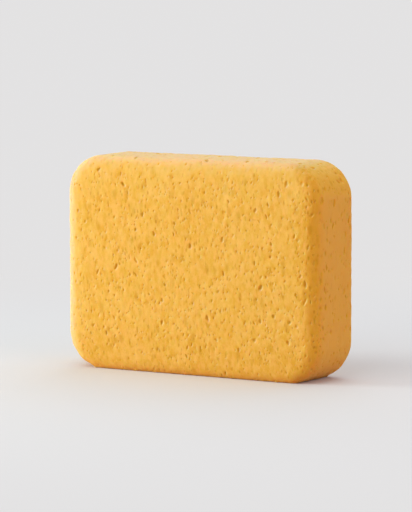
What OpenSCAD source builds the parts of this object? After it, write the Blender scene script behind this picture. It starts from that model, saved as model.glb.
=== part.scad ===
// Grout and cleaning sponge: one moulded block of open-cell foam that stands on a long edge.
// Millimetres, +Z up. The origin is the middle of the resting edge, and the front face looks to -Y.

/* [Block] */
// Length of the block, along the edge it stands on
body_w = 190.5; // [120:0.5:260]
// Thickness of the block, from the front face to the back face
body_t = 50.8; // [36:0.1:90]
// Height of the block, from the resting edge to the top edge
body_h = 139.7; // [90:0.1:200]

/* [Rounding] */
// Radius of the four corners, seen square to the front face
corner_r = 25; // [18:0.5:40]
// Radius that runs round the rim of both faces
edge_r = 9; // [4:0.5:14]

/* [Large open pores] */
// Smallest bubble that is cut open by the surface
pore_d_min = 1.6; // [1:0.1:2.5]
// Largest bubble that is cut open by the surface
pore_d_max = 4.2; // [2.5:0.1:6]
// Distance between neighbouring pores, on average
pore_pitch = 12; // [10:0.5:40]
// Depth of a bubble's centre under the surface, as a share of the bubble's radius
pore_sink = 0.35; // [0:0.05:0.8]
// Share of the places on the surface that hold a pore
pore_fill = 0.8; // [0.1:0.05:1]
// Foam left whole between two pores, and between a pore and the rounded rim
pore_wall = 1.2; // [0.5:0.1:3]
// Number that picks one scatter of pores out of many
pore_seed = 11; // [1:1:99]

/* [Hidden] */
$fn = 64;
pore_fn = 20;
foam = [0.95, 0.70, 0.30];

// Centres of the corner arcs, measured from the middle of the block
arc_x = body_w / 2 - corner_r;
arc_z = body_h / 2 - corner_r;
// Flat part of each face, inside the rounding
flat_w = body_w - 2 * edge_r;
flat_h = body_h - 2 * edge_r;
flat_r = corner_r - edge_r;
// Flat part of the narrow sides, inside the rounding
side_t = body_t - 2 * edge_r;

// True where a point lies on a w by h plate whose corners have the radius r
function on_plate(p, w, h, r) =
    norm([max(abs(p.x) - w / 2 + r, 0), max(abs(p.y) - h / 2 + r, 0)]) <= max(r, 0.001);

// Places of the pores on a w by h plate, one to a cell: [x, y, bubble diameter]
function pore_places(w, h, r, seed) =
    let (
        keep_off = pore_d_max / 2 + pore_wall,
        plate = [w - 2 * keep_off, h - 2 * keep_off],
        plate_r = max(r - keep_off, 0),
        cols = max(1, floor(plate.x / pore_pitch)),
        rows = max(1, floor(plate.y / pore_pitch)),
        cell = [plate.x / cols, plate.y / rows],
        play = [for (c = cell) max(c - pore_d_max - pore_wall, 0)],
        luck = rands(0, 1, 4 * cols * rows, seed)
    )
    [
        for (i = [0 : cols - 1], j = [0 : rows - 1])
            let (
                k = 4 * (i * rows + j),
                x = (i + 0.5 - cols / 2) * cell.x + (luck[k] - 0.5) * play.x,
                y = (j + 0.5 - rows / 2) * cell.y + (luck[k + 1] - 0.5) * play.y,
                d = pore_d_min + (pore_d_max - pore_d_min) * pow(luck[k + 2], 2)
            )
            if (luck[k + 3] < pore_fill && on_plate([x, y], plate.x, plate.y, plate_r)) [x, y, d]
    ];

// Bubbles under a plate that lies in the XY plane and looks to +Z
module bubbles(w, h, r, seed) {
    for (p = pore_places(w, h, r, seed))
        translate([p.x, p.y, -pore_sink * p.z / 2])
            sphere(d = p.z, $fn = pore_fn);
}

// Section of the foam from a corner arc's centre out to the narrow side, with both edges rounded
module rim_section() {
    translate([0, -body_t / 2])
        square([flat_r, body_t]);
    translate([0, -side_t / 2])
        square([corner_r, side_t]);
    for (side = [-1, 1])
        translate([flat_r, side * side_t / 2])
            circle(r = edge_r);
}

// Straight stretch of the rim, which looks to +X
module straight_rim(length) {
    linear_extrude(length, center = true)
        rim_section();
}

// Quarter turn of the rim, from +X to +Z
module corner_rim() {
    rotate([90, 0, 0])
        rotate_extrude(angle = 90)
            rim_section();
}

// Whole foam block without pores, centred on the origin
module block() {
    cube([2 * arc_x, body_t, 2 * arc_z], center = true);
    for (turn = [0, 180]) {
        rotate([0, turn, 0])
            translate([arc_x, 0, 0])
                straight_rim(2 * arc_z);
        rotate([0, turn - 90, 0])
            translate([arc_z, 0, 0])
                straight_rim(2 * arc_x);
    }
    for (quarter = [0 : 3])
        translate([
            arc_x * sign(cos(45 + 90 * quarter)),
            0,
            arc_z * sign(sin(45 + 90 * quarter))
        ])
            rotate([0, -90 * quarter, 0])
                corner_rim();
}

// Bubbles under all six flats of the block
module all_bubbles() {
    for (turn = [0, 180]) {
        rotate([90, 0, turn])
            translate([0, 0, body_t / 2])
                bubbles(flat_w, flat_h, flat_r, pore_seed + turn);
        rotate([0, 90, turn])
            translate([0, 0, body_w / 2])
                bubbles(2 * arc_z, side_t, 0, pore_seed + turn + 1);
        rotate([turn, 0, 0])
            translate([0, 0, body_h / 2])
                bubbles(2 * arc_x, side_t, 0, pore_seed + turn + 2);
    }
}

module sponge() {
    color(foam)
        translate([0, 0, body_h / 2])
            difference() {
                block();
                all_bubbles();
            }
}

sponge();
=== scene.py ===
"""Cleaning sponge: the looks of one moulded block of open-cell foam.

The block is built as two half shells, front and back, that meet on a line round the middle of the
narrow sides. Each half is laid out flat on a sheet, peppered with open pores, joined up into
triangles and folded back into shape. Places on the sheet are in millimetres.
"""

from __future__ import annotations

import logging
import math
from collections.abc import Iterator
from dataclasses import dataclass, field
from enum import Enum
from typing import Any

import bpy
import numpy as np
from mathutils import Matrix, Vector
from mathutils.geometry import delaunay_2d_cdt


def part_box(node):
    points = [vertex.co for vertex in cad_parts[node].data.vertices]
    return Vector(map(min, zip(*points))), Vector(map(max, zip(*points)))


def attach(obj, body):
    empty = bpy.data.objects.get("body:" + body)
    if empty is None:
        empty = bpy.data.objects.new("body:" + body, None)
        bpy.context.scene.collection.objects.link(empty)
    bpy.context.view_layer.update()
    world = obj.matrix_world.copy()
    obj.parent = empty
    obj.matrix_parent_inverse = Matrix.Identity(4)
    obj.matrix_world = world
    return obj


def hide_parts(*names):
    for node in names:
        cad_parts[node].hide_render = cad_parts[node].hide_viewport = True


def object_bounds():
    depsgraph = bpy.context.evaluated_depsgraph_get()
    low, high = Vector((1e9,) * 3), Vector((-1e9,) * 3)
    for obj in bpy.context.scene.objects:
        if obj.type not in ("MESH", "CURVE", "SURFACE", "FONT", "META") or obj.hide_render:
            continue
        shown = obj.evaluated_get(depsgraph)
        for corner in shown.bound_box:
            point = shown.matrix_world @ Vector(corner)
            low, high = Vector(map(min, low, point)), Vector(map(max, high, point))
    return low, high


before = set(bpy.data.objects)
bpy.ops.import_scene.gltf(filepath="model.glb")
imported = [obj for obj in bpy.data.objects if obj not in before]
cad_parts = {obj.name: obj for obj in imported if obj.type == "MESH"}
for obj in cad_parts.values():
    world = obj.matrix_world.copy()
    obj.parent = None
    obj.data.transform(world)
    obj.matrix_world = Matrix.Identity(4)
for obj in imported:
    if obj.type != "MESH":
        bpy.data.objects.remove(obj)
cad_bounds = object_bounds()

log = logging.getLogger("sponge")
MM = 0.001
# A length or an area too small to divide by
TINY = 1e-9
# Name of the mesh's record of how deep in a pore each point lies
PORE_DEPTH = "pore_depth"
Array = np.ndarray
Colour = tuple[float, float, float, float]


# ---- shape of the block


class Half(Enum):
    """The two half shells, each with the side of the block that it looks to along Y."""

    FRONT = -1
    BACK = 1


@dataclass(frozen=True)
class BlockForm:
    """Outside of the rounded block, and the way a half shell folds up from its flat sheet.

    The sheet of a half shell is the block's face, with the rim rolled out flat all round it. The
    sheet's first axis is the block's length and its second axis is the block's height, both from
    the middle of the face.
    """

    centre: tuple[float, float, float]
    length: float
    thickness: float
    height: float
    corner_radius: float = 25.0
    edge_radius: float = 9.0
    # How far each face falls away towards its end rims and towards its upper and lower rims, how far
    # in from the rims that begins, and the share of the rounded rim over which it fades out again
    shoulder: tuple[float, float] = (0.4, 1.4)
    shoulder_width: tuple[float, float] = (9.0, 24.0)
    shoulder_end: float = 0.75

    @classmethod
    def of_node(cls, node: str) -> BlockForm:
        """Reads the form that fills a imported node's box from the frame."""
        low, high = (np.array(corner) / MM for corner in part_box(node))
        return cls(tuple((low + high) / 2), *(high - low))

    @property
    def arc_centre(self) -> Array:
        """Centre of the upper right corner arc, from the middle of the face."""
        return np.array([self.length / 2, self.height / 2]) - self.corner_radius

    @property
    def flat_radius(self) -> float:
        """Corner radius of the flat part of the face."""
        return self.corner_radius - self.edge_radius

    @property
    def bend(self) -> float:
        """Length of the rounded rim on the sheet, across its quarter turn."""
        return self.edge_radius * math.pi / 2

    @property
    def reach(self) -> float:
        """Distance on the sheet from the flat part of the face to the seam line."""
        return self.bend + self.thickness / 2 - self.edge_radius

    @property
    def sheet_size(self) -> Array:
        """Whole length and height of the sheet."""
        return 2 * (self.arc_centre + self.flat_radius + self.reach)

    def outward(self, places: Array) -> tuple[Array, Array]:
        """Measures how far out places on the sheet lie.

        Args:
            places: Places on the sheet.

        Returns:
            Distance of each place past the flat part, below 0 inside it, and the direction outwards.
        """
        away = places - np.clip(places, -self.arc_centre, self.arc_centre)
        distance = np.linalg.norm(away, axis=1)
        direction = away / np.maximum(distance, TINY)[:, None]
        direction[distance < TINY] = (0.0, 1.0)
        return distance - self.flat_radius, direction

    def true_radius(self, past: Array) -> Array:
        """Radius of the real corner, seen square to the face, at distances past the flat part."""
        turn = np.clip(past / self.edge_radius, 0, math.pi / 2)
        return self.flat_radius + np.minimum(past, 0) + self.edge_radius * np.sin(turn)

    def widening(self, places: Array) -> Array:
        """Measures how many times wider than the foam the sheet is, along the rim.

        Args:
            places: Places on the sheet.

        Returns:
            The times at each place: 1 away from the corners.
        """
        past, direction = self.outward(places)
        at_corner = np.abs(direction).min(axis=1) > TINY
        drawn = self.flat_radius + past
        true = np.maximum(self.true_radius(past), TINY)
        return np.where(at_corner & (past > 0), drawn / true, 1.0)

    def fold(self, places: Array, half: Half) -> tuple[Array, Array]:
        """Folds places on the sheet up into the block's surface.

        Args:
            places: Places on the sheet.
            half: The half shell that the sheet belongs to.

        Returns:
            Points in the frame and the surface's outward directions there.
        """
        past, direction = self.outward(places)
        turn = np.clip(past / self.edge_radius, 0, math.pi / 2)
        root = np.clip(places, -self.arc_centre, self.arc_centre)
        rim = root + direction * self.true_radius(past)[:, None]
        plan = np.where((past <= 0)[:, None], places, rim)
        inwards = self.edge_radius * (1 - np.cos(turn)) + np.maximum(past - self.bend, 0)
        across = half.value * (self.thickness / 2 - inwards)
        points = np.column_stack([plan[:, 0], across, plan[:, 1]]) + np.array(self.centre)
        normals = np.column_stack(
            [
                direction[:, 0] * np.sin(turn),
                half.value * np.cos(turn),
                direction[:, 1] * np.sin(turn),
            ]
        )
        return points, normals

    def fallen(self, places: Array) -> Array:
        """Measures how far the face has fallen away from its flat middle.

        Args:
            places: Places on the sheet.

        Returns:
            The fall at each place: 0 in the middle of the face and on the narrow sides.
        """
        past, _ = self.outward(places)
        inset = self.arc_centre + self.flat_radius - np.abs(places)
        onset = np.maximum(1 - inset / np.array(self.shoulder_width), 0)
        fall = np.linalg.norm(onset**2 * np.array(self.shoulder), axis=1)
        return fall * (1 - ease(np.clip(past / (self.shoulder_end * self.bend), 0, 1)))

    def ring(self, past: float, spacing: float, shift: float = 0.0) -> Array:
        """Lays points evenly along a line that runs round the face at one distance past its flat part.

        Args:
            past: Distance past the flat part of the face.
            spacing: Greatest distance between neighbours on the foam.
            shift: Share of a step by which the points are moved along.

        Returns:
            Places on the sheet, in order, counter-clockwise.
        """
        true = float(self.true_radius(np.array([past]))[0])
        drawn = self.flat_radius + past
        arc = true * math.pi / 2
        sides = 2 * np.array([self.arc_centre[1], self.arc_centre[0]] * 2)
        whole = float(sides.sum()) + 4 * arc
        count = math.ceil(whole / spacing)
        found = []
        for step in range(count):
            left = (step + shift) % count * whole / count
            for quarter, side in enumerate(sides):
                if left < side:
                    found.append(self._on_side(quarter, left - side / 2, drawn))
                    break
                if left < side + arc:
                    found.append(self._on_corner(quarter, (left - side) / true, drawn))
                    break
                left -= side + arc
        return np.array(found)

    def _on_side(self, quarter: int, along: float, drawn: float) -> tuple[float, float]:
        """Place beside the face: right, top, left or bottom for quarters 0 to 3."""
        across, up = self.arc_centre + drawn
        return ((across, along), (-along, up), (-across, -along), (along, -up))[quarter]

    def _on_corner(self, quarter: int, turn: float, drawn: float) -> tuple[float, float]:
        """Finds a place on the corner that follows a side.

        Args:
            quarter: The side: right, top, left or bottom for 0 to 3.
            turn: Angle from that side.
            drawn: Distance on the sheet from the corner arc's centre.

        Returns:
            The place on the sheet.
        """
        angle = quarter * math.pi / 2 + turn
        middle = (quarter + 0.5) * math.pi / 2
        root = self.arc_centre * np.sign([math.cos(middle), math.sin(middle)])
        return (root[0] + drawn * math.cos(angle), root[1] + drawn * math.sin(angle))


@dataclass(frozen=True)
class Unevenness:
    """Slow swells and small dimples of the foam's skin, as a sum of waves in chance directions."""

    seed: int
    waves: int = 40
    # Wavelength range and height of the swells, then of the dimples
    swell: tuple[float, float, float] = (22.0, 70.0, 0.08)
    dimple: tuple[float, float, float] = (3.0, 9.0, 0.075)

    def height(self, points: Array) -> Array:
        """Adds up the waves.

        Args:
            points: Points in the frame.

        Returns:
            Height of the skin over the true block at each point.
        """
        chance = np.random.default_rng(self.seed)
        total = np.zeros(len(points))
        for low, high, size in (self.swell, self.dimple):
            for _ in range(self.waves):
                direction = chance.normal(size=3)
                direction /= np.linalg.norm(direction)
                length = chance.uniform(low, high)
                phase = chance.uniform(0, 2 * math.pi)
                wave = np.cos(points @ direction * 2 * math.pi / length + phase)
                total += wave * size * math.sqrt(2 / self.waves)
        return total


# ---- pores


@dataclass(frozen=True)
class PoreKind:
    """One size class of open pores: how many, how large and how finely they are drawn."""

    count: int
    # Radius of the mouth
    smallest: float
    largest: float
    # Points round the mouth, and how many times wider than it the ring of points round it is
    sides: int
    collar: float
    # Least and greatest depth, as a share of the radius
    depth: tuple[float, float]
    # Each ring inside the mouth: its share of the mouth's radius, its share of the depth and
    # whether it has half as many points as the ring before it
    rings: tuple[tuple[float, float, bool], ...]


WIDE = PoreKind(
    count=80,
    smallest=1.05,
    largest=1.75,
    sides=14,
    collar=1.26,
    depth=(0.34, 0.62),
    rings=((1.0, 0.12, False), (0.84, 0.5, False), (0.5, 0.88, True)),
)
MIDDLE = PoreKind(
    count=540,
    smallest=0.66,
    largest=1.05,
    sides=10,
    collar=1.32,
    depth=(0.3, 0.6),
    rings=((1.0, 0.13, False), (0.62, 0.75, True)),
)
SMALL = PoreKind(
    count=760,
    smallest=0.4,
    largest=0.64,
    sides=8,
    collar=1.36,
    depth=(0.4, 0.75),
    rings=((1.0, 0.14, False), (0.6, 0.75, True)),
)


@dataclass(frozen=True)
class Pore:
    """One open pore: a bubble of the foam that the skin has cut through."""

    kind: PoreKind
    centre: Array
    radius: float
    depth: float
    upright: float
    tilt: float
    # Size and phase of each wave that bends the mouth's outline, from two waves a turn upwards
    waves: tuple[tuple[float, float], ...]
    # Direction along the rim, and how many times wider than the foam the sheet is that way
    along: Array
    widening: float

    @property
    def openness(self) -> float:
        """How much of a hole it is, up to 1. A pore far shallower than it is wide is only a dimple."""
        return min(self.depth / self.radius, 1.0)

    def mouth(self, angles: Array) -> Array:
        """Measures the mouth.

        Args:
            angles: Directions from the middle of the pore.

        Returns:
            Distance on the foam from the middle to the mouth's rim in each direction.
        """
        turned = angles - self.tilt
        oval = 1 / np.hypot(np.cos(turned) * self.upright, np.sin(turned) / self.upright)
        bent = sum(size * np.cos(n * turned + phase) for n, (size, phase) in enumerate(self.waves, 2))
        return self.radius * oval * (1 + bent)

    def ring(self, share: float, halved: bool = False) -> Array:
        """Lays a ring of points round the pore.

        Args:
            share: Distance from the middle as a share of the mouth's.
            halved: Whether only every second point is wanted.

        Returns:
            Places on the sheet, counter-clockwise.
        """
        angles = np.arange(self.kind.sides) * 2 * math.pi / self.kind.sides
        if halved:
            angles = angles[::2]
        reach = self.mouth(angles) * share
        offsets = np.column_stack([np.cos(angles), np.sin(angles)]) * reach[:, None]
        return self.centre + self._stretched(offsets, self.widening)

    def beyond(self, places: Array, share: float) -> Array:
        """Distance on the foam from places on the sheet to the ring with a share, below 0 inside it."""
        away = self._stretched(places - self.centre, 1 / self.widening)
        return np.hypot(*away.T) - self.mouth(np.arctan2(away[:, 1], away[:, 0])) * share

    def _stretched(self, offsets: Array, times: float) -> Array:
        """Stretches offsets along the rim."""
        return offsets + np.outer(offsets @ self.along, self.along) * (times - 1)


@dataclass
class PoreScatter:
    """Scatters pores over the sheet of a half shell, thicker in some patches than in others."""

    form: BlockForm
    seed: int
    kinds: tuple[PoreKind, ...] = (WIDE, MIDDLE, SMALL)
    # Least foam between two collars, and between a collar and the seam line
    wall: float = 0.16
    seam_gap: float = 0.5
    # Size of the more and less open patches, how far chance changes it and how many waves make them
    patch: float = 15.0
    patch_spread: tuple[float, float] = (0.6, 1.6)
    patch_waves: int = 6
    # Chance that a pore stands in a middling patch, and how far it swings between patches
    usual: float = 0.55
    swing: float = 0.9
    # Size of a square of the grid in which neighbours are looked up
    cell: float = 5.0
    # How densely the pores stand on the face, on the rounded rim, on the rim at the right-hand end,
    # where the skin is thinner, and on the narrow sides
    face_share: float = 0.72
    rim_share: float = 0.16
    end_share: float = 1.0
    side_share: float = 0.6
    # Stretch over which the face gives way to the rim, past the face's flat part, and over which the
    # rim gives way to the narrow side, past the rounded rim
    into_rim: tuple[float, float] = (-5.0, 2.0)
    into_side: tuple[float, float] = (-4.0, 2.0)
    # How far to the right the rim looks where it is wholly the right-hand end's
    end_turn: float = 0.8
    # How many times wider the pores are at that end and on the sides, and how far to the right the
    # rim looks where that begins
    rough_size: float = 1.55
    rough_turn: float = 0.7
    # How strongly small pores outnumber large ones of their kind
    small_bias: float = 1.6
    # Greatest size of the waves that bend a mouth, the range of its height over its width, and how
    # far it leans
    bends: tuple[float, ...] = (0.2, 0.14, 0.08)
    upright: tuple[float, float] = (1.2, 2.6)
    lean: float = 0.35
    pores: list[Pore] = field(default_factory=list)
    _grid: dict[tuple[int, int], list[Pore]] = field(default_factory=dict)

    def scatter(self) -> list[Pore]:
        """Places every pore, the widest kind first.

        Returns:
            The pores of one half shell.
        """
        chance = np.random.default_rng(self.seed)
        patches = self._patches(chance)
        for kind in self.kinds:
            placed = 0
            while placed < kind.count:
                place = (chance.random(2) - 0.5) * self.form.sheet_size
                pore = self._draw(kind, place, chance)
                luck = chance.random(2)
                if self._wanted(place, luck, patches) and self._fits(pore):
                    self._keep(pore)
                    placed += 1
        return self.pores

    def _patches(self, chance: np.random.Generator) -> Array:
        """Draws the waves that make some patches of the foam more open.

        Args:
            chance: Source of chance.

        Returns:
            Two directions and a phase for each wave.
        """
        turns = chance.uniform(0, math.pi, self.patch_waves)
        rates = 2 * math.pi / (self.patch * chance.uniform(*self.patch_spread, self.patch_waves))
        phases = chance.uniform(0, 2 * math.pi, self.patch_waves)
        return np.column_stack([np.cos(turns) * rates, np.sin(turns) * rates, phases])

    def _wanted(self, place: Array, luck: Array, patches: Array) -> bool:
        """Decides whether chance lets a pore stand at a place.

        Args:
            place: The place on the sheet.
            luck: Two chance numbers from 0 to 1.
            patches: The waves that make some patches more open.

        Returns:
            Whether it may stand there.
        """
        past, direction = self.form.outward(place[None])
        if past[0] > self.form.reach:
            return False
        share = self._share(past[0], direction[0, 0])
        if luck[0] > share / self.form.widening(place[None])[0]:
            return False
        openness = np.cos(patches[:, :2] @ place + patches[:, 2]).mean()
        return bool(luck[1] < self.usual + self.swing * openness)

    def _share(self, past: float, rightward: float) -> float:
        """Looks up how densely the pores stand.

        Args:
            past: Distance past the face's flat part.
            rightward: How squarely that spot of the rim looks to the right.

        Returns:
            The density there, where 1 is the densest.
        """
        rim = np.interp(rightward, (0.0, self.end_turn), (self.rim_share, self.end_share))
        stops = (*self.into_rim, *(self.form.bend + step for step in self.into_side))
        return float(np.interp(past, stops, (self.face_share, rim, rim, self.side_share)))

    def _draw(self, kind: PoreKind, place: Array, chance: np.random.Generator) -> Pore:
        """Draws one pore of a kind at a place.

        Args:
            kind: The size class.
            place: The place on the sheet.
            chance: Source of chance.

        Returns:
            The pore, which isn't kept yet.
        """
        share = chance.random() ** self.small_bias
        past, direction = self.form.outward(place[None])
        radius = kind.smallest + (kind.largest - kind.smallest) * share
        at_end = direction[0, 0] > self.rough_turn
        if past[0] > (0.0 if at_end else self.form.bend + self.into_side[0]):
            radius = min(radius * self.rough_size, WIDE.largest)
        sizes = chance.uniform(0, self.bends)
        return Pore(
            kind=kind,
            centre=place,
            radius=radius,
            depth=radius * chance.uniform(*kind.depth),
            upright=math.sqrt(chance.uniform(*self.upright)),
            tilt=chance.normal(0, self.lean),
            waves=tuple(zip(sizes, chance.uniform(0, 2 * math.pi, len(sizes)))),
            along=np.array([-direction[0, 1], direction[0, 0]]),
            widening=float(self.form.widening(place[None])[0]),
        )

    def _near(self, place: Array) -> Iterator[Pore]:
        """Goes through the pores that may touch something at a place.

        Args:
            place: The place on the sheet.

        Yields:
            Each pore in the grid's squares round the place.
        """
        column, row = self._square(place)
        for i in (column - 1, column, column + 1):
            for j in (row - 1, row, row + 1):
                yield from self._grid.get((i, j), [])

    def _square(self, place: Array) -> tuple[int, int]:
        """The grid's square that a place lies in."""
        return (int(place[0] // self.cell), int(place[1] // self.cell))

    def _fits(self, pore: Pore) -> bool:
        """Decides whether a pore has room.

        Args:
            pore: The pore, which isn't kept yet.

        Returns:
            Whether it keeps clear of the seam line and leaves a wall to all its neighbours.
        """
        past, _ = self.form.outward(pore.ring(pore.kind.collar))
        clear = bool(past.max() <= self.form.reach - self.seam_gap)
        return clear and not any(self._meets(pore, other) for other in self._near(pore.centre))

    def _meets(self, pore: Pore, other: Pore) -> bool:
        """Whether two pores' collars come nearer to each other than the wall between them."""
        return any(
            (two.beyond(one.ring(one.kind.collar), two.kind.collar) < self.wall).any()
            for one, two in ((pore, other), (other, pore))
        )

    def _keep(self, pore: Pore) -> None:
        """Adds a pore to the list and to the grid of neighbours."""
        self.pores.append(pore)
        self._grid.setdefault(self._square(pore.centre), []).append(pore)


# ---- mesh


@dataclass
class Sheet:
    """The drawn points and triangles of one half shell, before it is folded up."""

    places: Array
    # The same points spread out for the map, where no pore's inside folds over
    marks: Array
    # How far each point is sunk into the foam, and how deep in a hole that is, up to 1
    sunk: Array
    share: Array
    # Corner numbers of each triangle
    faces: Array


@dataclass
class SheetMaker:
    """Draws a half shell on its flat sheet: the skin between the pores, then each pore's inside."""

    form: BlockForm
    # Distance between the skin's points on the flats and across the rounded rim, and how many times
    # further apart they stand along the rim
    skin_step: float = 2.7
    rim_step: float = 1.5
    along_rim: float = 1.05
    # How far inside the rim's first row the face's own points begin, in steps
    inset: float = 0.6
    # Share of a rim step by which chance moves each point
    scatter: float = 0.12
    # Distance that the points keep from a pore's collar, and how far round a pore they are tested
    clear: float = 0.55
    search: float = 8.0
    # Distance at which two points would count as one
    merge: float = 1e-5

    def draw(self, pores: list[Pore], seam: Array, seed: int) -> Sheet:
        """Draws the half shell.

        Args:
            pores: The half shell's open pores.
            seam: Places along the seam line, which come first among the sheet's points.
            seed: Number that picks the scatter of the skin's own points.

        Returns:
            The drawn sheet.
        """
        collars = [pore.ring(pore.kind.collar) for pore in pores]
        skin = self._skin_points(pores, np.random.default_rng(seed))
        loops = [seam, *collars]
        starts = np.cumsum([0] + [len(loop) for loop in loops])
        edges = [
            (int(start) + i, int(start) + (i + 1) % len(loop))
            for start, loop in zip(starts, loops)
            for i in range(len(loop))
        ]
        places = np.concatenate([*loops, skin])
        faces = self._triangles(places, edges, loops, starts)
        sheet = Sheet(
            places=places,
            marks=places.copy(),
            sunk=np.zeros(len(places)),
            share=np.zeros(len(places)),
            faces=faces,
        )
        self._sink(sheet, pores, starts[1:])
        return sheet

    def _skin_points(self, pores: list[Pore], chance: np.random.Generator) -> Array:
        """Lays the skin's own points, on the rim, on the narrow sides and on the face.

        Args:
            pores: The half's open pores.
            chance: Source of chance.

        Returns:
            Places on the sheet that keep clear of every pore.
        """
        form = self.form
        found = []
        rows = max(round(form.bend / self.rim_step), 2)
        for row in range(rows + 1):
            past = form.bend * row / rows
            found.append(form.ring(past, self.rim_step * self.along_rim, 0.5 * (row % 2)))
        side = form.reach - form.bend
        rows = max(round(side / self.skin_step), 1)
        for row in range(1, rows):
            past = form.bend + side * row / rows
            found.append(form.ring(past, self.skin_step, 0.5 * (row % 2)))
        step = self.skin_step * np.array([1.0, math.sqrt(3) / 2])
        span = (form.sheet_size / 2 / step).astype(int) + 1
        column, row = np.meshgrid(*(np.arange(-n, n + 1) for n in span))
        grid = np.column_stack([(column + 0.5 * (row % 2)).ravel(), row.ravel()]) * step
        past, _ = form.outward(grid)
        found.append(grid[past < -self.inset * self.skin_step])
        points = np.concatenate(found)
        points += chance.uniform(-1, 1, points.shape) * self.scatter * self.rim_step
        free = np.ones(len(points), bool)
        for pore in pores:
            near = np.flatnonzero(np.abs(points - pore.centre).max(axis=1) < self.search)
            free[near] &= pore.beyond(points[near], pore.kind.collar) > self.clear
        return points[free]

    def _triangles(
        self, places: Array, edges: list[tuple[int, int]], loops: list[Array], starts: Array
    ) -> Array:
        """Joins the skin's points into triangles and leaves the pores open.

        Args:
            places: Every point of the skin.
            edges: Pairs of points that stay joined: the seam line and the pores' collars.
            loops: The seam line's points, then each collar's points.
            starts: Number of each loop's first point.

        Returns:
            Corner numbers of each triangle, counter-clockwise.
        """
        points, _, faces, origins, _, _ = delaunay_2d_cdt(
            [Vector(place) for place in places.tolist()], edges, [], 0, self.merge
        )
        if len(points) != len(places):
            raise RuntimeError(f"the skin's outlines cross: {len(points)} points from {len(places)}")
        names = np.array([origin[0] for origin in origins])
        faces = names[np.array(faces)]
        corners = places[faces]
        one, two = corners[:, 1] - corners[:, 0], corners[:, 2] - corners[:, 0]
        turn = one[:, 0] * two[:, 1] - one[:, 1] * two[:, 0]
        faces[turn < 0] = faces[turn < 0][:, ::-1]
        faces = faces[np.abs(turn) > TINY]
        owner = np.full(len(places), -1)
        for number, (start, loop) in enumerate(zip(starts, loops)):
            owner[start : start + len(loop)] = number
        owners = owner[faces]
        alike = (owners[:, 0] == owners[:, 1]) & (owners[:, 1] == owners[:, 2]) & (owners[:, 0] > 0)
        middles = places[faces].mean(axis=1)
        drop = np.zeros(len(faces), bool)
        for index in np.flatnonzero(alike):
            drop[index] = inside(middles[index], loops[owners[index, 0]])
        return faces[~drop]

    def _sink(self, sheet: Sheet, pores: list[Pore], starts: Array) -> None:
        """Adds the inside of every pore to the sheet: rings of points that step down to its bottom.

        Args:
            sheet: The sheet, whose points and triangles are added to.
            pores: The half's open pores.
            starts: Number of the first point of each pore's collar.
        """
        rings, faces = [], [sheet.faces]
        count = len(sheet.places)
        for pore, start in zip(pores, starts):
            outer = np.arange(start, start + pore.kind.sides)
            steps = len(pore.kind.rings) + 1
            halved = False
            for level, (reach, depth, thinner) in enumerate(pore.kind.rings, 1):
                halved = halved or thinner
                ring = pore.ring(reach, halved)
                mark = pore.ring(pore.kind.collar * (1 - level / steps), halved)
                rings.append((ring, mark, depth * pore.depth, depth * pore.openness))
                inner = np.arange(count, count + len(ring))
                faces.append(band(outer, inner))
                outer, count = inner, count + len(ring)
            rings.append((pore.centre[None], pore.centre[None], pore.depth, pore.openness))
            faces.append(np.column_stack([outer, np.roll(outer, -1), np.full(len(outer), count)]))
            count += 1
        places, marks, sunk, share = zip(*rings)
        sizes = [len(ring) for ring in places]
        sheet.places = np.concatenate([sheet.places, *places])
        sheet.marks = np.concatenate([sheet.marks, *marks])
        sheet.sunk = np.concatenate([sheet.sunk, np.repeat(sunk, sizes)])
        sheet.share = np.concatenate([sheet.share, np.repeat(share, sizes)])
        sheet.faces = np.concatenate(faces)


def ease(share: Array) -> Array:
    """Smooth step from 0 to 1."""
    return share * share * (3 - 2 * share)


def inside(point: Array, outline: Array) -> bool:
    """Decides whether a point lies inside a closed outline.

    Args:
        point: The point.
        outline: The outline's points, in order.

    Returns:
        Whether it lies inside.
    """
    after = np.roll(outline, -1, axis=0)
    spans = (outline[:, 1] > point[1]) != (after[:, 1] > point[1])
    rise = np.where(spans, after[:, 1] - outline[:, 1], 1.0)
    crossing = outline[:, 0] + (point[1] - outline[:, 1]) / rise * (after[:, 0] - outline[:, 0])
    return bool((spans & (crossing > point[0])).sum() % 2)


def band(outer: Array, inner: Array) -> Array:
    """Joins two rings with triangles.

    Args:
        outer: Numbers of the outer ring's points, counter-clockwise.
        inner: Numbers of the inner ring's points, as many or half as many.

    Returns:
        Corner numbers of each triangle.
    """
    following, ahead = np.roll(outer, -1), np.roll(inner, -1)
    if len(inner) == len(outer):
        return np.concatenate(
            [
                np.column_stack([outer, following, ahead]),
                np.column_stack([outer, ahead, inner]),
            ]
        )
    even, odd, next_even = outer[::2], outer[1::2], following[1::2]
    return np.concatenate(
        [
            np.column_stack([even, odd, inner]),
            np.column_stack([odd, ahead, inner]),
            np.column_stack([odd, next_even, ahead]),
        ]
    )


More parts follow.
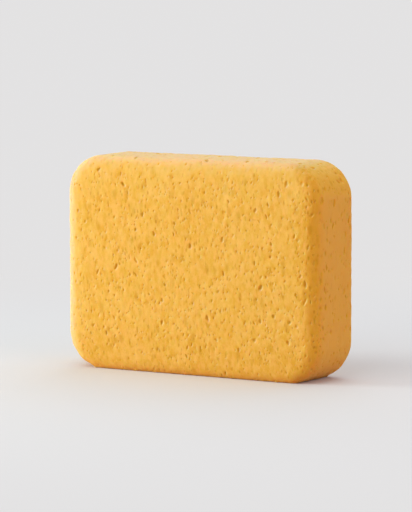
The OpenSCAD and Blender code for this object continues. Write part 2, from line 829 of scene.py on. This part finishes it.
@dataclass
class FoamBlock:
    """The sponge itself: one closed skin of foam, with its pores sunk into it."""

    form: BlockForm
    unevenness: Unevenness = Unevenness(seed=5)
    # Distance between the points of the seam line
    seam_step: float = 2.4
    # The foam lower than this has spread flat on the floor that it stands on
    settled: float = 1.0
    seeds: dict[Half, int] = field(default_factory=lambda: {Half.FRONT: 21, Half.BACK: 84})
    name: str = "foam_block"
    # The map that the finish can be painted out on, and the empty border round each sheet on it
    map_name: str = "OFBake"
    map_margin: float = 1.5

    def build(self) -> bpy.types.Object:
        """Builds the foam's mesh.

        Returns:
            The new object, in the frame.
        """
        seam = self.form.ring(self.form.reach, self.seam_step)
        maker = SheetMaker(self.form)
        points, marks, share, faces, sides = [], [], [], [], []
        count = 0
        for half in Half:
            pores = PoreScatter(self.form, self.seeds[half]).scatter()
            sheet = maker.draw(pores, seam, self.seeds[half])
            folded = self._folded(sheet, half)
            joined = 0 if half is Half.FRONT else len(seam)
            numbers = np.arange(len(folded)) + count - joined
            numbers[:joined] = np.arange(joined)
            corners = numbers[sheet.faces]
            faces.append(corners if half is Half.FRONT else corners[:, ::-1])
            points.append(folded[joined:])
            marks.append(sheet.marks[joined:])
            share.append(sheet.share[joined:])
            sides.append(np.full(len(corners), half.value))
            count += len(folded) - joined
            log.info("%s half: %d pores, %d triangles", half.name.lower(), len(pores), len(corners))
        return self._as_object(*(np.concatenate(part) for part in (points, marks, share, faces, sides)))

    def _folded(self, sheet: Sheet, half: Half) -> Array:
        """Folds a sheet up, with the skin uneven and the pores sunk into it.

        Args:
            sheet: The drawn sheet.
            half: The half shell that it is.

        Returns:
            Points in the frame, in millimetres.
        """
        points, normals = self.form.fold(sheet.places, half)
        rise = self.unevenness.height(points) * (1 - sheet.share) - self.form.fallen(sheet.places)
        points += normals * (rise - sheet.sunk)[:, None]
        floor = self.form.centre[2] - self.form.height / 2
        height = np.maximum(points[:, 2] - floor, self.settled)
        points[:, 2] = floor + np.sqrt(height**2 - self.settled**2)
        return points

    def _as_object(
        self, points: Array, marks: Array, share: Array, faces: Array, sides: Array
    ) -> bpy.types.Object:
        """Makes the Blender object, with the depth of its pores and its map.

        Args:
            points: Points in the frame, in millimetres.
            marks: Their places on the map.
            share: How deep in a pore each one lies.
            faces: Corner numbers of each triangle.
            sides: Side of the block that each triangle's half looks to.

        Returns:
            The new object.
        """
        mesh = bpy.data.meshes.new(self.name)
        mesh.vertices.add(len(points))
        mesh.vertices.foreach_set("co", (points * MM).astype(np.float32).ravel())
        mesh.loops.add(faces.size)
        mesh.loops.foreach_set("vertex_index", faces.astype(np.int32).ravel())
        mesh.polygons.add(len(faces))
        mesh.polygons.foreach_set("loop_start", np.arange(0, faces.size, 3, dtype=np.int32))
        mesh.polygons.foreach_set("use_smooth", np.ones(len(faces), bool))
        depth = mesh.attributes.new(PORE_DEPTH, "FLOAT", "POINT")
        depth.data.foreach_set("value", share.astype(np.float32))
        layer = mesh.uv_layers.new(name=self.map_name)
        layer.uv.foreach_set("vector", self._map(marks, faces, sides).astype(np.float32).ravel())
        mesh.update()
        mesh.validate()
        block = bpy.data.objects.new(self.name, mesh)
        bpy.context.scene.collection.objects.link(block)
        return block

    def _map(self, marks: Array, faces: Array, sides: Array) -> Array:
        """Lays the front sheet on the lower half of the map and the back sheet on the upper half.

        Args:
            marks: Places of the points on their sheet.
            faces: Corner numbers of each triangle.
            sides: Side of the block that each triangle's half looks to.

        Returns:
            Place on the map of each triangle's corners.
        """
        width, height = self.form.sheet_size + 2 * self.map_margin
        spots = marks[faces.ravel()]
        upper = np.repeat(sides > 0, 3)
        across = spots[:, 0] / width + 0.5
        up = (spots[:, 1] / height + 0.5 + upper) / 2
        return np.column_stack([across, up])


# ---- shader maths


Socket = bpy.types.NodeSocket
Settings = dict[str, Any] | None
Inputs = dict[str | int, Any] | None


class Board:
    """One node tree, and the only place that adds nodes to it."""

    def __init__(self, tree: bpy.types.NodeTree) -> None:
        """Takes over a tree and empties it."""
        self.tree = tree
        tree.nodes.clear()

    def node(self, kind: str, settings: Settings = None, inputs: Inputs = None) -> bpy.types.Node:
        """Adds a node.

        Args:
            kind: The node's type, without its ShaderNode prefix.
            settings: The node's own settings, which are set first.
            inputs: Numbers, colours, sockets or values for its input sockets, by name or number.

        Returns:
            The new node.
        """
        made = self.tree.nodes.new("ShaderNode" + kind)
        for name, setting in (settings or {}).items():
            setattr(made, name, setting)
        for name, given in (inputs or {}).items():
            given = given.socket if isinstance(given, Value) else given
            if isinstance(given, Socket):
                self.tree.links.new(given, made.inputs[name])
            else:
                made.inputs[name].default_value = given
        return made

    def value(self, kind: str, output: str, settings: Settings, inputs: Inputs = None) -> Value:
        """Adds a node and wraps one of its outputs as a value for arithmetic."""
        return Value(self, self.node(kind, settings, inputs).outputs[output])

    def blend(self, share: Any, first: Any, second: Any) -> Socket:
        """Blends two colours: the first where share is 0, the second where it is 1."""
        settings = {"data_type": "RGBA", "blend_type": "MIX", "clamp_factor": True}
        return self.node("Mix", settings, {0: share, 6: first, 7: second}).outputs[2]


class Value:
    """A number that changes over a surface. Arithmetic on it adds the Math nodes."""

    def __init__(self, board: Board, socket: Socket) -> None:
        """Wraps a socket of the board's tree."""
        self.board = board
        self.socket = socket

    def _math(self, operation: str, *terms: Any) -> Value:
        """Adds one Math node."""
        inputs = dict(enumerate(terms))
        return self.board.value("Math", "Value", {"operation": operation}, inputs)

    def __add__(self, other: Value | float) -> Value:
        """Sum."""
        return self._math("ADD", self, other)

    def __sub__(self, other: Value | float) -> Value:
        """Difference."""
        return self._math("SUBTRACT", self, other)

    def __mul__(self, other: Value | float) -> Value:
        """Product."""
        return self._math("MULTIPLY", self, other)

    def __pow__(self, power: float) -> Value:
        """Power."""
        return self._math("POWER", self, power)

    def __rsub__(self, other: float) -> Value:
        """Difference, from a plain number."""
        return self._math("SUBTRACT", other, self)

    __radd__ = __add__
    __rmul__ = __mul__

    def ramp(self, low: float, high: float, start: float = 0.0, end: float = 1.0) -> Value:
        """Eases from start to end as the value goes from low to high, and stays level beyond them."""
        limits = {"Value": self, "From Min": low, "From Max": high, "To Min": start, "To Max": end}
        return self.board.value("MapRange", "Result", {"interpolation_type": "SMOOTHSTEP"}, limits)


# ---- finishes

Direction = tuple[float, float, float]
# Ways along which light and shade are painted: towards the light, up and to the left, and straight down
LIGHTWARD: Direction = (-0.87, 0.0, 0.49)
DOWN: Direction = (0.0, 0.0, -1.0)


@dataclass(frozen=True)
class Grain:
    """Soft unevenness of a size: how far it ripens the foam's colour, and how high it stands."""

    size: float
    ripening: float = 0.0
    height: float = 0.0
    detail: float = 2.0
    roughness: float = 0.55

    def spread(self, board: Board, place: Socket) -> Value:
        """Spreads it over the surface, from 0 to 1."""
        inputs = {
            "Vector": place,
            "Scale": 1 / self.size,
            "Detail": self.detail,
            "Roughness": self.roughness,
        }
        return board.value("TexNoise", "Fac", {"noise_dimensions": "3D"}, inputs)


@dataclass(frozen=True)
class Cells:
    """Fine cells that the surface has cut open: how dark and how deep they are."""

    spacing: float
    # Radius as a share of the spacing, and the share of it that is the cell's bottom
    radius: float
    shade: float
    depth: float
    bottom: float = 0.3

    def spread(self, board: Board, place: Socket) -> Value:
        """Spreads them over the surface: 1 in a cell, 0 on the foam between them."""
        inputs = {"Vector": place, "Scale": 1 / self.spacing, "Randomness": 1.0}
        return board.value("TexVoronoi", "Distance", {"feature": "F1"}, inputs).ramp(
            self.radius * self.bottom, self.radius, 1.0, 0.0
        )


@dataclass(frozen=True)
class Tint:
    """A colour that lies over the foam where it faces a way, as painted light or shade."""

    colour: Colour
    way: Direction
    # How squarely the foam faces that way at both ends of the change, from -1 straight away from it
    # to 1 straight at it, and the tint's share at each end
    facing: tuple[float, float]
    share: tuple[float, float]

    def over(self, board: Board, under: Socket, normal: Socket) -> Socket:
        """Lays the tint over a colour.

        Args:
            board: The material's node tree.
            under: The colour beneath.
            normal: The way that the surface faces.

        Returns:
            The blended colour.
        """
        settings = {"operation": "DOT_PRODUCT"}
        squarely = board.value("VectorMath", "Value", settings, {0: normal, 1: self.way})
        return board.blend(squarely.ramp(*self.facing, *self.share), under, self.colour)


@dataclass(frozen=True)
class FoamFinish:
    """Dry yellow-orange foam: matt, faintly furry, dotted with fine open cells."""

    skin: Colour = (0.84, 0.475, 0.106, 1.0)
    ripe: Colour = (0.72, 0.37, 0.03, 1.0)
    # Painted shade: browner where the foam faces away from the light, right and down, and richer on the
    # right-hand end, which lies in shade
    painted_away_shade: Tint = Tint((0.74, 0.36, 0.028, 1.0), LIGHTWARD, facing=(-0.42, -0.04), share=(0.75, 0.0))
    painted_end_shade: Tint = Tint((0.79, 0.36, 0.06, 1.0), LIGHTWARD, facing=(-0.87, -0.6), share=(0.75, 0.0))
    # Painted light, a little paler, and a painted whitish sheen where it faces up and to the left,
    # towards the light
    painted_light: Tint = Tint((0.76, 0.51, 0.13, 1.0), LIGHTWARD, facing=(-0.1, 0.2), share=(0.0, 0.6))
    painted_sheen: Tint = Tint((0.78, 0.48, 0.26, 1.0), LIGHTWARD, facing=(0.02, 0.42), share=(0.0, 0.65))
    # Painted shade, darker and redder, where it faces down
    painted_under_shade: Tint = Tint((0.8, 0.3, 0.035, 1.0), DOWN, facing=(0.25, 0.85), share=(0.0, 0.8))
    # Painted shade inside the open pores, and how slowly it sets in with depth
    deep: Colour = (0.54, 0.3, 0.01, 1.0)
    deepening: float = 1.5
    # Colour in the skin's own fine cells, which come in three sizes
    shade: Colour = (0.57, 0.26, 0.0, 1.0)
    cells: Cells = Cells(spacing=2.8 * MM, radius=0.33, shade=0.7, depth=1.0)
    fine: Cells = Cells(spacing=1.5 * MM, radius=0.3, shade=0.32, depth=0.25)
    spots: Cells = Cells(spacing=7.5 * MM, radius=0.3, shade=0.45, depth=0.6)
    # The foam rose in its mould, so all but the patches of colour is drawn out upwards
    drawn_out: Direction = (1.0, 1.0, 0.5)
    patches: Grain = Grain(15 * MM, ripening=0.28, detail=1.0)
    mottle: Grain = Grain(2.6 * MM, ripening=0.9, height=0.6)
    grain: Grain = Grain(0.6 * MM, ripening=0.3, height=0.2)
    # Unevenness at which the foam begins to ripen and is wholly ripe
    ripe_range: tuple[float, float] = (0.43, 1.03)
    # Where the fine cells crowd together, the edge of such a clump and their share outside it
    clumps: Grain = Grain(6.5 * MM)
    clump_edge: tuple[float, float] = (0.38, 0.62)
    sparse: float = 0.25

    def material(self) -> bpy.types.Material:
        """Makes the material.

        Returns:
            The new material.
        """
        made = bpy.data.materials.new("dry_foam")
        made.use_nodes = True
        board = Board(made.node_tree)
        spot = board.node("TexCoord")
        where = spot.outputs["Object"]
        normal = spot.outputs["Normal"]
        stretch = board.node("VectorMath", {"operation": "MULTIPLY"}, {0: where, 1: self.drawn_out})
        place = stretch.outputs["Vector"]
        cells = self.cells.spread(board, place)
        fine = self.fine.spread(board, place)
        spots = self.spots.spread(board, place)
        clumps = self.clumps.spread(board, place).ramp(*self.clump_edge, self.sparse, 1.0)
        patches = self.patches.spread(board, where)
        mottle = self.mottle.spread(board, place)
        grain = self.grain.spread(board, place)
        ripeness = (
            patches * self.patches.ripening
            + mottle * self.mottle.ripening
            + grain * self.grain.ripening
        )
        crowded = (cells * self.cells.shade + fine * self.fine.shade) * clumps
        sunk = board.value("Attribute", "Fac", {"attribute_name": PORE_DEPTH})
        colour = board.blend(ripeness.ramp(*self.ripe_range), self.skin, self.ripe)
        # Over the foam's own colour: painted shade away from the light and underneath, painted light
        # and sheen towards it
        colour = self.painted_away_shade.over(board, colour, normal)
        colour = board.blend(crowded + spots * self.spots.shade, colour, self.shade)
        for tint in (self.painted_end_shade, self.painted_light, self.painted_sheen, self.painted_under_shade):
            colour = tint.over(board, colour, normal)
        # Painted shade deep in the pores
        colour = board.blend(sunk**self.deepening, colour, self.deep)
        raised = grain * self.grain.height + mottle * self.mottle.height
        pitted = cells * self.cells.depth + fine * self.fine.depth + spots * self.spots.depth
        relief = {"Strength": 0.62, "Distance": 0.34 * MM, "Height": raised - pitted}
        shader = board.node(
            "BsdfPrincipled",
            None,
            {
                "Base Color": colour,
                "Roughness": 0.92,
                "Specular IOR Level": 0.05,
                "Subsurface Weight": 0.75,
                "Subsurface Radius": (1.0, 0.45, 0.12),
                "Subsurface Scale": 3.0 * MM,
                "Sheen Weight": 0.2,
                "Sheen Roughness": 0.6,
                "Sheen Tint": (1.0, 0.84, 0.5, 1.0),
                "Normal": board.node("Bump", None, relief).outputs["Normal"],
            },
        )
        board.node("OutputMaterial", None, {"Surface": shader.outputs["BSDF"]})
        return made


@dataclass(frozen=True)
class FloorFinish:
    """Pale matt sheet of studio paper that runs out into the background and throws little light."""

    paper: Colour = (0.757, 0.756, 0.773, 1.0)
    # The paper as the light that it throws back at the block sees it
    bounced: Colour = (0.56, 0.47, 0.37, 1.0)
    background: Colour = (0.77, 0.762, 0.765, 1.0)
    # Distances from the block at which it begins to run out and has done so
    near: float = 0.14
    far: float = 0.6

    def material(self) -> bpy.types.Material:
        """Makes the material.

        Returns:
            The new material.
        """
        made = bpy.data.materials.new("paper")
        made.use_nodes = True
        board = Board(made.node_tree)
        colour = board.blend(seen_directly(board), self.bounced, self.paper)
        paper = board.node(
            "BsdfPrincipled",
            None,
            {"Base Color": colour, "Roughness": 0.9, "Specular IOR Level": 0.0},
        )
        glow = board.node("Emission", None, {"Color": self.background, "Strength": 1.0})
        place = board.node("TexCoord").outputs["Object"]
        away = board.value("VectorMath", "Value", {"operation": "LENGTH"}, {0: place})
        share = away.ramp(self.near, self.far) * seen_directly(board)
        both = board.node(
            "MixShader", None, {0: share, 1: paper.outputs["BSDF"], 2: glow.outputs["Emission"]}
        )
        board.node("OutputMaterial", None, {"Surface": both.outputs["Shader"]})
        return made


def seen_directly(board: Board) -> Value:
    """Tells the rays that show a surface from the rays that carry its light on.

    Args:
        board: The node tree.

    Returns:
        1 for the camera's rays and for mirrored or clear ones, 0 for all others.
    """
    path = board.node("LightPath")
    kinds = ("Camera", "Glossy", "Transmission")
    camera, glossy, clear = (Value(board, path.outputs[f"Is {kind} Ray"]) for kind in kinds)
    return camera + glossy + clear


# ---- studio


@dataclass(frozen=True)
class Lamp:
    """A soft square panel that faces the block, placed by its bearing from the block's middle."""

    name: str
    azimuth: float
    elevation: float
    size: float
    watts: float
    colour: tuple[float, float, float]
    distance: float = 1.4

    def build(self, aim: Array) -> None:
        """Builds the lamp.

        Args:
            aim: The point that the lamp faces.
        """
        light = bpy.data.lights.new(self.name, "AREA")
        light.shape = "SQUARE"
        light.size = self.size
        light.energy = self.watts
        light.color = self.colour
        lamp = bpy.data.objects.new(self.name, light)
        back = Vector(bearing(self.azimuth, self.elevation))
        lamp.location = Vector(aim) + back * self.distance
        lamp.rotation_mode = "QUATERNION"
        lamp.rotation_quaternion = (-back).to_track_quat("-Z", "Y")
        lamp.visible_camera = False
        bpy.context.scene.collection.objects.link(lamp)


def bearing(azimuth: float, elevation: float) -> tuple[float, float, float]:
    """Works out the direction from the block towards a bearing.

    Args:
        azimuth: Degrees round the block, where 0 is its front and 90 its right-hand end.
        elevation: Degrees above the level.

    Returns:
        The direction, of length 1.
    """
    turn, rise = math.radians(azimuth), math.radians(elevation)
    flat = math.cos(rise)
    return (math.sin(turn) * flat, -math.cos(turn) * flat, math.sin(rise))


@dataclass(frozen=True)
class StudioCamera:
    """Long-lens camera in front of the block's right corner, a little above it."""

    # Bearing from the block's middle, and turn round the line of sight, in degrees
    azimuth: float = 31.7
    elevation: float = 5.85
    roll: float = -0.11
    # Metres from the block, and focal length in millimetres
    distance: float = 2.268
    lens: float = 246.5
    # How far the eye stands beside that bearing, to its right and above it
    aside: float = -1.81 * MM
    above: float = 5.69 * MM
    clip: tuple[float, float] = (0.05, 60.0)

    def build(self, aim: Array) -> None:
        """Builds the camera and makes it the scene's own.

        Args:
            aim: Middle of the block.
        """
        camera = bpy.data.objects.new("camera", bpy.data.cameras.new("camera"))
        camera.data.lens = self.lens
        camera.data.clip_start, camera.data.clip_end = self.clip
        back = Vector(bearing(self.azimuth, self.elevation))
        level = Vector((0, 0, 1)).cross(back).normalized()
        upright = back.cross(level)
        roll = math.radians(self.roll)
        right = level * math.cos(roll) + upright * math.sin(roll)
        up = upright * math.cos(roll) - level * math.sin(roll)
        eye = Vector(aim) + back * self.distance + right * self.aside + up * self.above
        turned = Matrix((right, up, back)).transposed().to_4x4()
        camera.matrix_world = Matrix.Translation(eye) @ turned
        bpy.context.scene.collection.objects.link(camera)
        bpy.context.scene.camera = camera


@dataclass
class Studio:
    """Floor, air light, lamps and camera round the block."""

    aim: Array
    camera: StudioCamera = StudioCamera()
    lamps: tuple[Lamp, ...] = (
        Lamp("key", azimuth=-60, elevation=5, size=0.6, watts=22.0, colour=(0.92, 1.0, 0.96)),
        Lamp("front", azimuth=0, elevation=40, size=1.2, watts=5.2, colour=(0.98, 1.0, 0.91)),
        Lamp("fill", azimuth=75, elevation=15, size=1.2, watts=6.2, colour=(1.0, 0.84, 0.86)),
        Lamp("overhead", azimuth=180, elevation=65, size=1.2, watts=4.2, colour=(1.0, 0.97, 0.96)),
        Lamp("back", azimuth=-155, elevation=28, size=0.8, watts=2.4, colour=(0.7, 0.85, 1.0)),
    )
    # Strength and colour of the light that comes evenly from all round
    air: float = 0.505
    air_colour: Colour = (0.985, 0.985, 0.985, 1.0)
    paper: FloorFinish = FloorFinish()
    floor_size: float = 40.0

    def build(self) -> None:
        """Builds everything that isn't part of the object."""
        self.camera.build(self.aim)
        for lamp in self.lamps:
            lamp.build(self.aim)
        self._floor()
        self._air()
        bpy.context.scene.view_settings.view_transform = "Standard"

    def _floor(self) -> None:
        """Lays the floor under the block."""
        half = self.floor_size / 2
        mesh = bpy.data.meshes.new("floor")
        corners = [(-half, -half, 0), (half, -half, 0), (half, half, 0), (-half, half, 0)]
        mesh.from_pydata(corners, [], [(0, 1, 2, 3)])
        mesh.materials.append(self.paper.material())
        floor = bpy.data.objects.new("floor", mesh)
        bpy.context.scene.collection.objects.link(floor)

    def _air(self) -> None:
        """Fills the studio with even light, which the camera sees as the background's colour."""
        world = bpy.data.worlds.new("studio")
        world.use_nodes = True
        bpy.context.scene.world = world
        board = Board(world.node_tree)
        light = board.node("Background", None, {"Color": self.air_colour, "Strength": self.air})
        seen = board.node("Background", None, {"Color": self.paper.background, "Strength": 1.0})
        both = board.node(
            "MixShader",
            None,
            {0: seen_directly(board), 1: light.outputs[0], 2: seen.outputs[0]},
        )
        board.node("OutputWorld", None, {"Surface": both.outputs["Shader"]})


# ---- assembly


@dataclass
class Sponge:
    """The one piece: its foam block, dressed and fixed to the frame."""

    node: str = "sponge"
    body: str = "root"
    slot: str = "foam"
    # A dry moulded block stands full and firm
    fill: float = 1.0

    def build(self) -> None:
        """Builds, dresses and seats the block."""
        block = FoamBlock(BlockForm.of_node(self.node)).build()
        block.data.materials.append(FoamFinish().material())
        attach(block, self.body)
        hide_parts(self.node)
        log.info("%s: %d triangles", block.name, len(block.data.polygons))


def main() -> None:
    """Builds the studio and the sponge."""
    logging.basicConfig(level=logging.INFO, format="%(name)s: %(message)s")
    low, high = cad_bounds
    Studio(aim=np.array((low + high) / 2)).build()
    Sponge().build()


if __name__ == "__main__":
    main()
